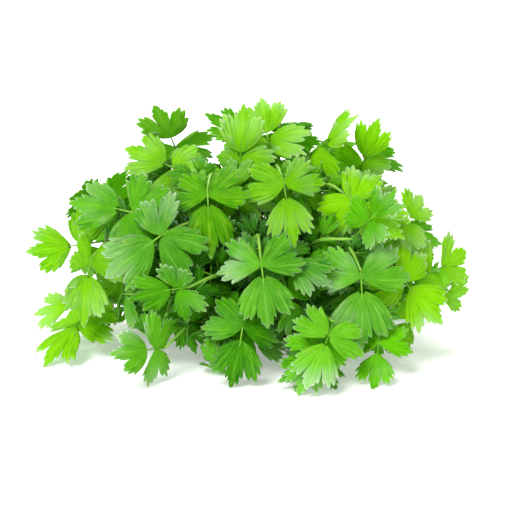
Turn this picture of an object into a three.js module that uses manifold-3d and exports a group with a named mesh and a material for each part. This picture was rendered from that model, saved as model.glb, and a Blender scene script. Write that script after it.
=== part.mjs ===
// A bunch of flat-leaved parsley, lying on its side as it lies on a kitchen board.
//
// Each sprig is one grown piece: a thin stem, cut off at the back, and a compound leaf in front.
// The leaf is an end frond and one or two side fronds, each on a stalk of its own. A frond is three
// leaflets with cut, toothed edges, in one thin blade.
//
// The stems lie side by side in a bundle along +Y and part towards -Y, where the leaves make a
// mound. Millimetres, +Z up. The bunch grows about the middle of its bundle, and is then moved so
// that the origin is on the surface, under the middle of the whole.
//
// No leaf cuts through another. The sprigs grow one after another, the outermost first, and each
// one bends, turns and folds a little, from its own seeded draws, until it is clear of the others
// and of the surface.

import * as THREE from "three";
import Module from "manifold-3d";
import { mergeVertices } from "three/addons/utils/BufferGeometryUtils.js";

// Driving dimensions, in millimetres and degrees.
const moundCentre = new THREE.Vector3(0, -17, 36); // the leafy mound is part of an ellipsoid
const moundRadii = new THREE.Vector3(106, 82, 84);
const frontEdge = -101; // where the mound meets the surface in front, along Y
const lookDown = 15; // the seats are given as seen from in front, looking down by this angle
const neckY = 88; // where the stems start to part
const cutY = 172; // where the stems are cut off, on average
const cutSpread = 9; // how far the cut ends lie out of line
const stemWidth = 2.6;
const taper = 0.3; // share of its width that a stem loses from its cut end to its tip
const stemSides = 5;
const stemPitch = 3.25; // from stem to stem in the bundle
const bundleRows = [7, 8, 9, 8, 7, 6]; // places in each row, from the surface up
const rachis = 24; // from the side fronds' fork to the stem's tip
const endRoot = 4; // from the stem's tip to the end frond's side leaflets
const sideStalk = 20; // from the fork to a side frond's side leaflets
const sunk = 0.4; // how far a stalk's root goes past the middle of its stem
const stalkWidth = 1.3;
const bladeThickness = 0.8;
const endLength = 24; // of a frond's end leaflet
const endStalk = 9; // from the side leaflets to the end leaflet
const sideLength = 23; // of a frond's side leaflets
const sideLean = 106; // between a side leaflet and its frond's line
const frondReach = 38; // from a seat to the tip of its end leaflet
const pressed = 1.5; // how far a tip may be pressed up where it meets the surface
const clearance = 2.9; // between the middles of two stems or blades, at the least
const bends = 200; // ways to its seat that a sprig may try
const seedShift = 48; // another number here grows another bunch
const standing = [2.8, -31.15, 0]; // brings the middle of the whole bunch over the origin

// The seats of the sprigs: how far across and how far up the end frond is seen, which way its end
// leaflet points (0 is up and 90 is right), its size, how deep it sits in the mound, and how many
// side fronds the sprig has.
const frontSeats = [
  [3, 70, 178, 1.0, 0, 2],
  [-6, 37, 176, 1.0, 5, 1],
  [-35, 54, -115, 1.05, 3, 2],
  [-48, 22, -120, 1.0, 0, 1],
  [-89, 70, -168, 1.0, 0, 2],
  [-97, 37, -170, 1.0, 4, 1],
  [-62, 94, -75, 1.1, 4, 2],
  [-45, 121, -58, 1.0, 4, 2],
  [-11, 119, -8, 0.95, 8, 2],
  [9, 130, 8, 1.05, 2, 2],
  [29, 127, 70, 1.1, 5, 2],
  [15, 112, 172, 0.95, 0, 1],
  [56, 115, 52, 1.0, 8, 2],
  [50, 103, 150, 1.05, 0, 2],
  [-25, 106, 175, 0.95, 0, 1],
  [-47, 84, -122, 1.15, 0, 1],
  [-66, 50, -100, 1.0, 8, 1],
  [27, 24, -160, 0.9, 8, 1],
  [50, 79, 88, 0.95, 5, 1],
  [57, 63, 172, 1.15, 0, 1],
  [45, 32, 170, 1.1, 0, 1],
  [38, 16, -172, 0.95, 6, 1],
  [78, 77, 72, 1.0, 3, 2],
  [94, 60, 72, 1.05, 0, 2],
  [95, 50, 152, 1.0, 5, 1],
  [68, 33, 140, 1.0, 3, 2],
  [78, 60, 138, 0.95, 0, 1],
  [-48, 38, 178, 0.9, 9, 1],
  [-20, 22, 176, 0.9, 10, 1],
  [16, 52, 165, 0.9, 15, 1],
];
// The same as seen from behind, looking down as much, with across still towards +X.
const backSeats = [
  [-84, 88, -60, 1.0, 4, 2],
  [-38, 112, -20, 1.0, 4, 2],
  [14, 118, 12, 1.0, 4, 2],
  [58, 104, 40, 1.0, 4, 2],
  [88, 74, 75, 1.0, 4, 2],
  [-60, 60, -100, 1.0, 2, 1],
];

// Leaflet rims, as [degrees off the leaflet's own line, share of its length]: teeth and the cuts
// between them, in turn. The end leaflet has three lobes, and a side leaflet two.
const endRim = [
  [-68, 0.36], [-59, 0.7], [-50, 0.64], [-45, 0.88], [-34, 1.0], [-24, 0.86], [-17, 0.46],
  [-11, 0.92], [-6, 0.82], [0, 1.12], [6, 0.82], [11, 0.92], [17, 0.46], [24, 0.86],
  [34, 1.0], [45, 0.88], [50, 0.64], [59, 0.7], [68, 0.36],
];
const sideRim = [
  [-58, 0.34], [-53, 0.76], [-40, 0.92], [-26, 1.03], [-13, 0.88], [-5, 0.38], [4, 0.92],
  [18, 1.05], [31, 0.92], [44, 0.8], [54, 0.36],
];
// The side fronds, further in, have plainer rims.
const innerEndRim = [
  [-60, 0.58], [-38, 0.98], [-24, 0.86], [-17, 0.46], [-10, 0.94], [0, 1.12], [10, 0.94],
  [17, 0.46], [24, 0.86], [38, 0.98], [60, 0.58],
];
const innerSideRim = [[-52, 0.64], [-30, 1.0], [-12, 0.88], [-5, 0.38], [18, 1.05], [46, 0.7]];

const leafColours = { bright: 0x72c226, green: 0x3f961c, pale: 0x86c95a };

const degree = Math.PI / 180;

// Seeded draws from 0 to 1, so that the bunch is the same each time.
function drawsFrom(seed) {
  let state = seed >>> 0;
  return () => {
    state = (state + 0x6d2b79f5) >>> 0;
    let mixed = Math.imul(state ^ (state >>> 15), state | 1);
    mixed ^= mixed + Math.imul(mixed ^ (mixed >>> 7), mixed | 61);
    return ((mixed ^ (mixed >>> 14)) >>> 0) / 4294967296;
  };
}

// A seat in space: its place on the mound, the way its frond faces and the way its line runs. A
// frond that would reach below the surface spreads out along it instead.
// side is -1 for a seat seen from in front, and 1 for one seen from behind.
function seatInSpace([across, up, heading, size, depth, fronds], side) {
  const tilt = lookDown * degree;
  const upward = new THREE.Vector3(0, -side * Math.sin(tilt), Math.cos(tilt));
  const into = new THREE.Vector3(0, -side * Math.cos(tilt), -Math.sin(tilt));
  const edge = moundCentre.y + side * (moundCentre.y - frontEdge);
  const seen = new THREE.Vector3(across, edge, 0).addScaledVector(upward, up);
  const radii = moundRadii.clone().subScalar(depth);
  const from = seen.clone().sub(moundCentre).divide(radii);
  const along = into.clone().divide(radii);
  const half = from.dot(along);
  const inside = Math.max(half * half - along.lengthSq() * (from.lengthSq() - 1), 0);
  const place = seen.addScaledVector(into, (-half - Math.sqrt(inside)) / along.lengthSq());
  place.z = Math.max(place.z, stemWidth / 2);

  const outward = place.clone().sub(moundCentre).divide(moundRadii).divide(moundRadii);
  const face = outward.normalize().multiplyScalar(0.6).addScaledVector(into, -0.75).normalize();
  const line = new THREE.Vector3(Math.sin(heading * degree), 0, 0);
  line.addScaledVector(upward, Math.cos(heading * degree));
  line.addScaledVector(face, -line.dot(face)).normalize();
  const fall = Math.max(1 - place.z, -frondReach * size) / (frondReach * size);
  if (line.z < fall) {
    line.add(face).setZ(0).setLength(Math.sqrt(1 - fall * fall)).setZ(fall);
    face.addScaledVector(line, -line.dot(face)).normalize();
  }
  const seed = 400 * (across + 130) + up + 130 * side + seedShift;
  const kind = up > 100 || Math.abs(across) > 75 ? "bright" : depth > 2 ? "green" : "pale";
  return { place, face, line, size, depth, fronds, seed, kind };
}

// The places for stems in the bundle, row on row, like stacked pipes.
function bundlePlaces() {
  const places = [];
  const low = (stemWidth / 2) * Math.cos(Math.PI / stemSides) - 0.08;
  bundleRows.forEach((count, row) => {
    for (let i = 0; i < count; i++) {
      const x = (i - (count - 1) / 2) * stemPitch;
      places.push(new THREE.Vector2(x, low + row * stemPitch * 0.88));
    }
  });
  return places;
}

// How far the stems have parted at y: nothing at the neck, and steadily more in front of it.
function parted(y) {
  const share = (neckY - y) / 100;
  return share <= 0 ? 0 : (share * share) / (share + 0.6);
}

// A stem's points: from the cut end along the bundle, then out to the fork and the tip.
function stemPoints(tip, fork, spot, cut, bow) {
  const leanX = (fork.x - spot.x) / parted(fork.y);
  const leanZ = (fork.z - spot.y) / parted(fork.y);
  const points = [cut, neckY].map((y) => new THREE.Vector3(spot.x, y, spot.y));
  for (const share of [0.18, 0.42, 0.7]) {
    const y = neckY + (fork.y - neckY) * share;
    const point = new THREE.Vector3(spot.x + leanX * parted(y), y, spot.y + leanZ * parted(y));
    point.addScaledVector(bow, Math.sin(share * Math.PI));
    point.z = Math.max(point.z, stemWidth / 2);
    points.push(point);
  }
  return [...points, fork, tip];
}

// The leaflets' rims in the frond's own plane: x is across, and y is along the frond's line, from
// where the side leaflets meet.
function rimPoints(rim, length, x, y, lean, side) {
  return rim.map(([angle, share]) => {
    const turn = (lean + angle * side) * degree;
    const reach = length * share;
    return new THREE.Vector2(x + Math.sin(turn) * reach, y + Math.cos(turn) * reach);
  });
}

function frondLeaflets({ size, inner }) {
  const half = stalkWidth / 2;
  const [endRow, sideRow] = inner ? [innerEndRim, innerSideRim] : [endRim, sideRim];
  return {
    right: rimPoints(sideRow, sideLength * size, half, 0, sideLean, -1),
    end: rimPoints(endRow, endLength * size, 0, endStalk * size - 1, 0, -1),
    left: rimPoints(sideRow, sideLength * size, -half, 0, -sideLean, 1).reverse(),
  };
}

// The frond's outline, anticlockwise from the right side of its stalk's root.
function frondOutline(frond) {
  const { right, end, left } = frondLeaflets(frond);
  const half = stalkWidth / 2;
  const neck = endStalk * frond.size;
  const root = -frond.stalk - sunk;
  const [back, front] = [-1.2, 1.6];
  return [
    ...[root, back].map((y) => new THREE.Vector2(half, y)),
    ...right,
    ...[front, neck].map((y) => new THREE.Vector2(half, y)),
    ...end,
    ...[neck, front].map((y) => new THREE.Vector2(-half, y)),
    ...left,
    ...[back, root].map((y) => new THREE.Vector2(-half, y)),
  ];
}

// The outline's corners, taken apart into the three leaflets and the stalk's three stretches.
function frondParts(frond) {
  const { right, end, left } = frondLeaflets(frond);
  const run = (from, count) => Array.from({ length: count }, (_, i) => from + i);
  const rightSide = run(1, right.length + 2);
  const ahead = run(rightSide.at(-1) + 1, end.length + 2);
  const leftSide = run(ahead.at(-1) + 1, left.length + 2);
  return [
    rightSide,
    ahead,
    leftSide,
    [0, rightSide[0], leftSide.at(-1), leftSide.at(-1) + 1],
    [rightSide[0], rightSide.at(-1), leftSide[0], leftSide.at(-1)],
    [rightSide.at(-1), ahead[0], ahead.at(-1), leftSide[0]],
  ];
}

// Where a point of the flat frond comes to: the blade is arched, and each leaflet is folded up or
// down about the line where it meets the stalk.
function bentPoint({ arch, folds, size, frame }, x, y, z) {
  const point = new THREE.Vector3(x, y, z);
  const beside = Math.abs(x) - stalkWidth / 2;
  const ahead = y - endStalk * size;
  if (ahead > 0 && beside < 2 * ahead) {
    point.set(x, ahead, z - arch * (0.7 * x * x + 0.6 * ahead * ahead));
    point.applyAxisAngle(new THREE.Vector3(1, 0, 0), folds[1]);
    point.y += endStalk * size;
  } else if (beside > 0) {
    const side = Math.sign(x);
    point.set(side * beside, y, z - arch * (0.7 * beside * beside + 0.3 * y * y));
    point.applyAxisAngle(new THREE.Vector3(0, -side, 0), folds[side > 0 ? 0 : 2]);
    point.x += (side * stalkWidth) / 2;
  }
  return point.applyMatrix4(frame);
}

// Points all over a frond and all along a stem, to tell how near they come to others.
function samplesOfFrond(frond) {
  const samples = [];
  samples.lowest = 0;
  const add = (x, y) => {
    const point = bentPoint(frond, x, y, 0);
    samples.lowest = Math.min(samples.lowest, point.z);
    point.z = Math.max(point.z, bladeThickness / 2);
    samples.push(point);
  };
  const { right, end, left } = frondLeaflets(frond);
  const bases = [[right, 1, 0], [end, 0, endStalk * frond.size], [left, -1, 0]];
  for (const [rim, baseX, baseY] of bases)
    for (let i = 1; i < rim.length; i++) {
      const parts = Math.ceil(rim[i].distanceTo(rim[i - 1]) / 2.2);
      for (let part = i === 1 ? 0 : 1; part <= parts; part++) {
        const edge = rim[i - 1].clone().lerp(rim[i], part / parts);
        const reach = Math.hypot(edge.x - baseX, edge.y - baseY);
        for (let back = 0; back < reach - 3; back += 2.2) {
          const share = 1 - back / reach;
          add(baseX + (edge.x - baseX) * share, baseY + (edge.y - baseY) * share);
        }
      }
    }
  for (let y = -frond.stalk; y < endStalk * frond.size; y += 2) add(0, y);
  return samples;
}

function samplesOfStem(points) {
  const samples = [];
  for (let i = 1; i < points.length; i++) {
    const parts = Math.ceil(points[i].distanceTo(points[i - 1]) / 1.5);
    for (let part = 0; part < parts; part++)
      samples.push(points[i - 1].clone().lerp(points[i], part / parts));
  }
  return samples;
}

// What has grown is kept in boxes of space, so that only what is near has to be looked at.
const grown = new Map();
const boxOf = (point) => point.toArray().map((v) => Math.floor(v / clearance));

function remember(samples, owner) {
  for (const point of samples) {
    const key = boxOf(point).join();
    if (!grown.has(key)) grown.set(key, []);
    grown.get(key).push({ point, owner });
  }
}

function forget(owner) {
  for (const [key, box] of grown) grown.set(key, box.filter((other) => other.owner !== owner));
}

// A sprig's own parts may touch near the root, where they grow together.
function isClear(samples, owner, root) {
  for (const point of samples) {
    const [x, y, z] = boxOf(point);
    for (let i = x - 1; i <= x + 1; i++)
      for (let j = y - 1; j <= y + 1; j++)
        for (let k = z - 1; k <= z + 1; k++)
          for (const other of grown.get([i, j, k].join()) ?? []) {
            if (other.owner === owner && other.point.distanceTo(root) < 8) continue;
            if (other.point.distanceTo(point) < clearance) return false;
          }
  }
  return true;
}

// One frond's attitude, from its own draws. late goes from 0 to 1 over the tries: the later, the
// further the frond may turn and fold, and the smaller it may stay.
function tryFrond(bud, draw, late) {
  const { root, inner } = bud;
  const turn = inner ? 12 + 68 * late : 6 + 64 * late;
  const small = 0.35 * late;
  const [yaw, pitch, roll] = [0, 0, 0].map(() => (draw() - 0.5) * 2 * turn * degree);
  const arch = 0.003 + 0.009 * draw();
  const folds = [0, 0, 0].map(() => ((draw() - 0.5) * (24 + turn) - 8) * degree);
  const slide = inner ? 3 * bud.stalk * (draw() - 0.5) : 40 * draw();
  const stalk = bud.stalk + small * slide;

  const line = bud.line.clone();
  const face = bud.face.clone().applyAxisAngle(line, roll);
  const sideways = line.clone().cross(face).normalize();
  line.applyAxisAngle(sideways, pitch);
  face.applyAxisAngle(sideways, pitch);
  line.applyAxisAngle(face, yaw);
  const across = line.clone().cross(face);
  const start = root.clone().addScaledVector(line, stalk);
  const frame = new THREE.Matrix4().makeBasis(across, line, face).setPosition(start);
  return { size: bud.size * (1 - small), stalk, arch, folds, inner, frame };
}

function growFrond(sprig, seed, bud, tries) {
  const draw = drawsFrom(seed);
  for (let i = 0; i < tries; i++) {
    const frond = tryFrond(bud, draw, i / tries);
    const samples = samplesOfFrond(frond);
    if (samples.lowest < -pressed || !isClear(samples, sprig, bud.root)) continue;
    remember(samples, sprig);
    return frond;
  }
  return null;
}

// A sprig's stem and end frond grow together. Each bend is one way to the seat, and the later ones
// stray further. Every twelfth bend starts from the next free place in the bundle.
function growSprig(sprig, places) {
  const { seat, lean } = sprig;
  const cut = cutY + (drawsFrom(seat.seed)() - 0.5) * 2 * cutSpread;
  const wanted = new THREE.Vector2(
    15 * Math.tanh(lean.x / 60),
    9 + 9 * Math.tanh((lean.y - 25) / 40),
  );
  places.sort((one, other) => one.distanceTo(wanted) - other.distanceTo(wanted));
  for (let bend = 0; bend < Math.min(bends, 12 * places.length); bend++) {
    const draw = drawsFrom(1000 * seat.seed + bend);
    const stray = (reach) =>
      new THREE.Vector3(draw() - 0.5, draw() - 0.5, draw() - 0.5).multiplyScalar(2 * reach);
    const late = bend / bends;
    const tip = seat.place.clone().add(stray(0.5 + 12 * late));
    const fork = sprig.fork.clone().add(stray(1 + 20 * late));
    tip.z = Math.max(tip.z, stemWidth / 2);
    fork.z = Math.max(fork.z, 4);
    const spot = places[Math.floor(bend / 12)];
    const stem = stemPoints(tip, fork, spot, cut, stray(1 + 14 * late));
    const samples = samplesOfStem(stem);
    if (!isClear(samples, sprig, tip)) continue;
    remember(samples, sprig);
    const bud = { ...seat, root: tip, stalk: endRoot, inner: false };
    const frond = growFrond(sprig, 1000 * seat.seed + bend + 500, bud, 60);
    if (frond) {
      places.splice(places.indexOf(spot), 1);
      return Object.assign(sprig, { stem, fork, tip, fronds: [frond] });
    }
    forget(sprig);
  }
  return null;
}

function growSideFronds(sprig) {
  const { face, line, size, fronds, seed } = sprig.seat;
  for (let i = 0; i < fronds; i++) {
    const side = (i === 0 ? 1 : -1) * (seed % 2 ? 1 : -1);
    const way = line.clone().cross(face).multiplyScalar(side * 0.9);
    way.addScaledVector(sprig.back, 0.35).normalize();
    const upright = face.clone().addScaledVector(way, -face.dot(way)).normalize();
    const root = sprig.fork.clone().lerp(sprig.tip, 0.1);
    const shape = { size: size * 0.95, stalk: sideStalk * size, inner: true };
    const bud = { root, line: way, face: upright, ...shape };
    const frond = growFrond(sprig, 1000 * seed + 700 + i, bud, 600);
    if (frond) sprig.fronds.push(frond);
  }
}

// A frond's upper and under side are split into the same triangles, so the blade keeps its
// thickness however it bends. On the surface it is pressed flat.
function frondGeometry(frond) {
  const outline = frondOutline(frond);
  const count = outline.length;
  const positions = [];
  for (const side of [-1, 1])
    for (const { x, y } of outline) {
      const point = bentPoint(frond, x, y, (side * bladeThickness) / 2);
      positions.push(point.x, point.y, Math.max(point.z, side < 0 ? 0 : bladeThickness));
    }
  const index = [];
  for (const part of frondParts(frond)) {
    const corners = part.map((i) => outline[i]);
    for (const face of THREE.ShapeUtils.triangulateShape(corners, [])) {
      if (THREE.ShapeUtils.area(face.map((i) => corners[i])) < 0) face.reverse();
      const [a, b, c] = face.map((i) => part[i]);
      index.push(c, b, a, a + count, b + count, c + count);
    }
  }
  for (let i = 0; i < count; i++) {
    const next = (i + 1) % count;
    index.push(i, next, next + count, i, next + count, i + count);
  }
  const blade = new THREE.BufferGeometry();
  blade.setAttribute("position", new THREE.Float32BufferAttribute(positions, 3));
  blade.setIndex(index);
  return blade;
}

// A stem's sections are at its points, and it is straight from each one to the next.
class StemCurve extends THREE.CatmullRomCurve3 {
  getUtoTmapping(share) {
    return share;
  }
}

function stemGeometry(points) {
  const corners = [];
  for (let i = 0; i < stemSides; i++) {
    const turn = ((i + 0.5) / stemSides) * 2 * Math.PI;
    corners.push(new THREE.Vector2(Math.cos(turn), Math.sin(turn)).multiplyScalar(stemWidth / 2));
  }
  const extrudePath = new StemCurve(points, false, "catmullrom", 0.5);
  const steps = points.length - 1;
  const stem = new THREE.ExtrudeGeometry(new THREE.Shape(corners), { extrudePath, steps });
  const position = stem.attributes.position;
  const corner = new THREE.Vector3();
  for (let i = 0; i < position.count; i++) {
    corner.fromBufferAttribute(position, i);
    const away = points.map((point) => point.distanceTo(corner));
    const nearest = away.indexOf(Math.min(...away));
    corner.lerp(points[nearest], (taper * nearest) / steps);
    position.setXYZ(i, corner.x, corner.y, Math.max(corner.z, 0));
  }
  return stem;
}

const wasm = await Module();
wasm.setup();

function solidOf(geometry) {
  const bare = geometry.clone();
  bare.deleteAttribute("normal");
  bare.deleteAttribute("uv");
  const merged = mergeVertices(bare, 1e-3);
  const mesh = new wasm.Mesh({
    numProp: 3,
    vertProperties: merged.attributes.position.array,
    triVerts: new Uint32Array(merged.index.array),
  });
  return new wasm.Manifold(mesh);
}

function sprigGeometry({ stem, fronds }) {
  let solid = solidOf(stemGeometry(stem));
  for (const frond of fronds) solid = solid.add(solidOf(frondGeometry(frond)));
  const { vertProperties, triVerts } = solid.getMesh();
  const geometry = new THREE.BufferGeometry();
  geometry.setAttribute("position", new THREE.BufferAttribute(vertProperties, 3));
  geometry.setIndex(new THREE.BufferAttribute(triVerts, 1));
  return geometry;
}

// Grow the bunch: first the stems with their end fronds, and then the side fronds between them.
const seats = [
  ...frontSeats.map((row) => seatInSpace(row, -1)),
  ...backSeats.map((row) => seatInSpace(row, 1)),
];
const neck = new THREE.Vector3(0, neckY, 14);
const buds = seats.map((seat, i) => {
  const coming = seat.place.clone().sub(neck).normalize();
  const back = coming.multiplyScalar(0.75).addScaledVector(seat.line, 0.5).normalize();
  const fork = seat.place.clone().addScaledVector(back, -rachis);
  fork.z = Math.max(fork.z, 4);
  const lean = new THREE.Vector2(fork.x, fork.z - moundCentre.z).divideScalar(parted(fork.y));
  return { number: i + 1, seat, fork, back, lean };
});
const outermostFirst = [...buds].sort((one, other) => one.seat.depth - other.seat.depth);
const places = bundlePlaces();
const sprigs = outermostFirst.map((bud) => growSprig(bud, places)).filter((sprig) => sprig);
sprigs.forEach(growSideFronds);

const bunch = new THREE.Group();
bunch.position.set(...standing);
for (const sprig of sprigs) {
  const color = leafColours[sprig.seat.kind];
  const material = new THREE.MeshStandardMaterial({ color, roughness: 0.55, metalness: 0 });
  const mesh = new THREE.Mesh(sprigGeometry(sprig), material);
  mesh.name = `sprig_${String(sprig.number).padStart(2, "0")}`;
  bunch.add(mesh);
}

export default bunch;
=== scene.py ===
import math
import random

import bmesh
import bpy
from mathutils import Matrix, Quaternion, Vector
from mathutils.kdtree import KDTree


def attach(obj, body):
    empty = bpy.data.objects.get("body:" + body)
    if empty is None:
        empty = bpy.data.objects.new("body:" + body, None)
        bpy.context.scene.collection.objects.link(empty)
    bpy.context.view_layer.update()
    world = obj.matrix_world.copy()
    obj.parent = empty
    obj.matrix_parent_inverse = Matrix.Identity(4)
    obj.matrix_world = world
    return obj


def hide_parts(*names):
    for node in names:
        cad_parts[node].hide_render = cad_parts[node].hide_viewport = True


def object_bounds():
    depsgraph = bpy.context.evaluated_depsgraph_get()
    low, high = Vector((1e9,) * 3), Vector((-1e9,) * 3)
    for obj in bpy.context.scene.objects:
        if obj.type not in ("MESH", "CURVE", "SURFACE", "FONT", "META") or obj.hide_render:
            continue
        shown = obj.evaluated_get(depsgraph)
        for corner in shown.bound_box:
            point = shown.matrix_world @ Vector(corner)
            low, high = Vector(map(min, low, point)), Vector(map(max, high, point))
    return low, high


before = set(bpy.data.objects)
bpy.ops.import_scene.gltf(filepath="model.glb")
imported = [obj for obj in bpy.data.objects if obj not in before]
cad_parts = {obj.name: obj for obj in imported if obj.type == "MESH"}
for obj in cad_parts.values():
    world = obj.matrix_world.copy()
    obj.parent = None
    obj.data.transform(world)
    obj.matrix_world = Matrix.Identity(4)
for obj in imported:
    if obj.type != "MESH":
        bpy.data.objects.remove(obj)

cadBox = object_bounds()
print("frame loaded:", len(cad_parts), "sprigs")

# The bunch grows here as it does in the part, from the same seats and the same draws.
# Millimetres and degrees.
growth = {
    "moundCentre": Vector((0, -17, 36)),  # the leafy mound is part of an ellipsoid
    "moundRadii": Vector((106, 82, 84)),
    "faceOut": 0.6,  # how far blades face out of the mound, and how far forwards
    "faceForward": 0.75,
    "frontEdge": -101,  # where the mound meets the surface in front, along Y
    "lookDown": 15,  # the seats are given as seen from in front, looking down by this angle
    "neckY": 88,  # where the stems start to part
    "neckZ": 14,
    "partCurve": 0.6,  # the larger, the more slowly they part
    "bowShares": (0.18, 0.42, 0.7),  # where a stem is bent, on the way from the neck to its fork
    "cutY": 172,  # where the stems are cut off, on average
    "cutSpread": 9,
    "forkShare": 0.1,  # where the side fronds leave, on the way from the fork to the tip
    "stemWidth": 2.6,
    "taper": 0.3,  # share of its width that a stem loses up to its tip
    "stemSides": 5,
    "stemPitch": 3.25,  # from stem to stem in the bundle
    "rowShare": 0.88,  # the same from row to row, as a share of stemPitch
    "bundleRows": [7, 8, 9, 8, 7, 6],  # places in each row, from the surface up
    "pressed": 0.08,  # how far the lowest row is pressed onto the surface
    "lowestFork": 4,
    "rachisLean": (0.75, 0.5),  # how far a stem's last part keeps its way, and follows its frond
    "rachis": 24,  # from the side fronds' fork to the stem's tip
    "endRoot": 4,  # from the stem's tip to the end frond's side leaflets
    "sideStalk": 20,  # from the fork to a side frond's side leaflets
    "sunk": 0.4,  # how far a stalk's root goes past the middle of its stem
    "stalkWidth": 1.3,
    "stalkFront": 1.6,  # where the end stalk is bare again, past the side leaflets
    "solidBlade": 0.8,  # the thickness of a blade in the solids
    "archAcross": 0.7,  # how a blade arches: across and along the end leaflet
    "archAlong": 0.6,
    "archBeside": 0.3,  # and along a side leaflet
    "endStalk": 9,  # from the side leaflets to the end leaflet
    "endLength": 24,
    "sideLength": 23,
    "sideLean": 106,  # between a side leaflet and its frond's line
    "sideSize": 0.95,  # a side frond's size, as a share of the end frond's
    "sideSpread": (0.9, 0.35),  # how far it grows sideways, and how far forwards
    "frondReach": 38,  # from a seat to the tip of its end leaflet
    "bends": 200,  # ways to its seat that a sprig may try
    "tipStray": (0.5, 12),  # how far each may stray: in the first try, and how much more at last
    "forkStray": (1, 20),
    "bowStray": (1, 14),
    "endTries": 60,
    "sideTries": 600,
    "endTurn": (6, 64),  # degrees in the first try of a frond, and how many more at last
    "sideTurn": (12, 68),
    "smaller": 0.35,  # how much smaller the last try is
    "arch": (0.003, 0.009),  # the least, and how much more at most
    "foldRange": 24,  # degrees, and the turn besides
    "foldDown": -8,
    "endSlide": 40,  # how far a small frond may move along its stalk
    "sideSlide": 3,
    "seedShift": 48,  # the part's own: another number grows a bunch that doesn't fit its solids
    "standing": Vector((2.8, -31.15, 0)),  # brings the middle of the bunch over the origin
    "match": 0.05,  # how near to its place a corner of the solid has to be
}

# The seats, where end fronds start: across, up, heading, size, depth in the mound, and how many
# side fronds their sprigs may have.
frontSeats = [
    (3, 70, 178, 1.0, 0, 2),
    (-6, 37, 176, 1.0, 5, 1),
    (-35, 54, -115, 1.05, 3, 2),
    (-48, 22, -120, 1.0, 0, 1),
    (-89, 70, -168, 1.0, 0, 2),
    (-97, 37, -170, 1.0, 4, 1),
    (-62, 94, -75, 1.1, 4, 2),
    (-45, 121, -58, 1.0, 4, 2),
    (-11, 119, -8, 0.95, 8, 2),
    (9, 130, 8, 1.05, 2, 2),
    (29, 127, 70, 1.1, 5, 2),
    (15, 112, 172, 0.95, 0, 1),
    (56, 115, 52, 1.0, 8, 2),
    (50, 103, 150, 1.05, 0, 2),
    (-25, 106, 175, 0.95, 0, 1),
    (-47, 84, -122, 1.15, 0, 1),
    (-66, 50, -100, 1.0, 8, 1),
    (27, 24, -160, 0.9, 8, 1),
    (50, 79, 88, 0.95, 5, 1),
    (57, 63, 172, 1.15, 0, 1),
    (45, 32, 170, 1.1, 0, 1),
    (38, 16, -172, 0.95, 6, 1),
    (78, 77, 72, 1.0, 3, 2),
    (94, 60, 72, 1.05, 0, 2),
    (95, 50, 152, 1.0, 5, 1),
    (68, 33, 140, 1.0, 3, 2),
    (78, 60, 138, 0.95, 0, 1),
    (-48, 38, 178, 0.9, 9, 1),
    (-20, 22, 176, 0.9, 10, 1),
    (16, 52, 165, 0.9, 15, 1),
]
backSeats = [
    (-84, 88, -60, 1.0, 4, 2),
    (-38, 112, -20, 1.0, 4, 2),
    (14, 118, 12, 1.0, 4, 2),
    (58, 104, 40, 1.0, 4, 2),
    (88, 74, 75, 1.0, 4, 2),
    (-60, 60, -100, 1.0, 2, 1),
]


# The part's own random numbers, from 0 to 1.
def drawsFrom(seed, skipped=0):
    step, whole = 0x6D2B79F5, 0xFFFFFFFF
    state = (seed + skipped * step) & whole
    while True:
        state = (state + step) & whole
        mixed = (state ^ (state >> 15)) * (state | 1) & whole
        mixed ^= (mixed + ((mixed ^ (mixed >> 7)) * (mixed | 61) & whole)) & whole
        yield (mixed ^ (mixed >> 14)) / 4294967296


# Which copy of the leaf skin a sprig gets: one with painted light at the top and the sides, one
# with painted shade further in, and one with a painted sheen near the mound's surface elsewhere.
kinds = {"litUp": 100, "litAcross": 75, "shadedDepth": 2}


def kindOf(across, up, depth):
    if up > kinds["litUp"] or abs(across) > kinds["litAcross"]:
        return "bright"
    return "green" if depth > kinds["shadedDepth"] else "pale"


# Where the line of sight through a seat meets the mound, and the frond's line and face there.
def seatInSpace(row, side):
    across, up, heading, size, depth, sideFronds = row
    tilt = math.radians(growth["lookDown"])
    centre, radiiOut = growth["moundCentre"], growth["moundRadii"]
    upward = Vector((0, -side * math.sin(tilt), math.cos(tilt)))
    into = Vector((0, -side * math.cos(tilt), -math.sin(tilt)))
    edge = centre.y + side * (centre.y - growth["frontEdge"])
    seen = Vector((across, edge, 0)) + upward * up
    radii = radiiOut - Vector((depth, depth, depth))
    start = Vector([(a - b) / c for a, b, c in zip(seen, centre, radii)])
    along = Vector([a / c for a, c in zip(into, radii)])
    half = start.dot(along)
    inside = max(half * half - along.length_squared * (start.length_squared - 1), 0)
    place = seen + into * ((-half - math.sqrt(inside)) / along.length_squared)
    place.z = max(place.z, growth["stemWidth"] / 2)

    outward = Vector([(a - b) / c / c for a, b, c in zip(place, centre, radiiOut)]).normalized()
    face = (outward * growth["faceOut"] - into * growth["faceForward"]).normalized()
    turn = math.radians(heading)
    line = Vector((math.sin(turn), 0, 0)) + upward * math.cos(turn)
    line = (line - face * line.dot(face)).normalized()
    reach = growth["frondReach"] * size
    fall = max(1 - place.z, -reach) / reach
    if line.z < fall:  # it would reach below the surface, so it spreads out along it
        line = ((line + face).xy.normalized() * math.sqrt(1 - fall * fall)).to_3d()
        line.z = fall
        face = (face - line * face.dot(line)).normalized()
    seed = 400 * (across + 130) + up + 130 * side + growth["seedShift"]
    return {"place": place, "face": face, "line": line, "size": size, "seed": seed,
            "kind": kindOf(across, up, depth), "sideFronds": sideFronds}


# How far the stems have parted at y: nothing at the neck, and steadily more in front of it.
def parted(y):
    share = (growth["neckY"] - y) / 100
    return 0 if share <= 0 else share * share / (share + growth["partCurve"])


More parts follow.
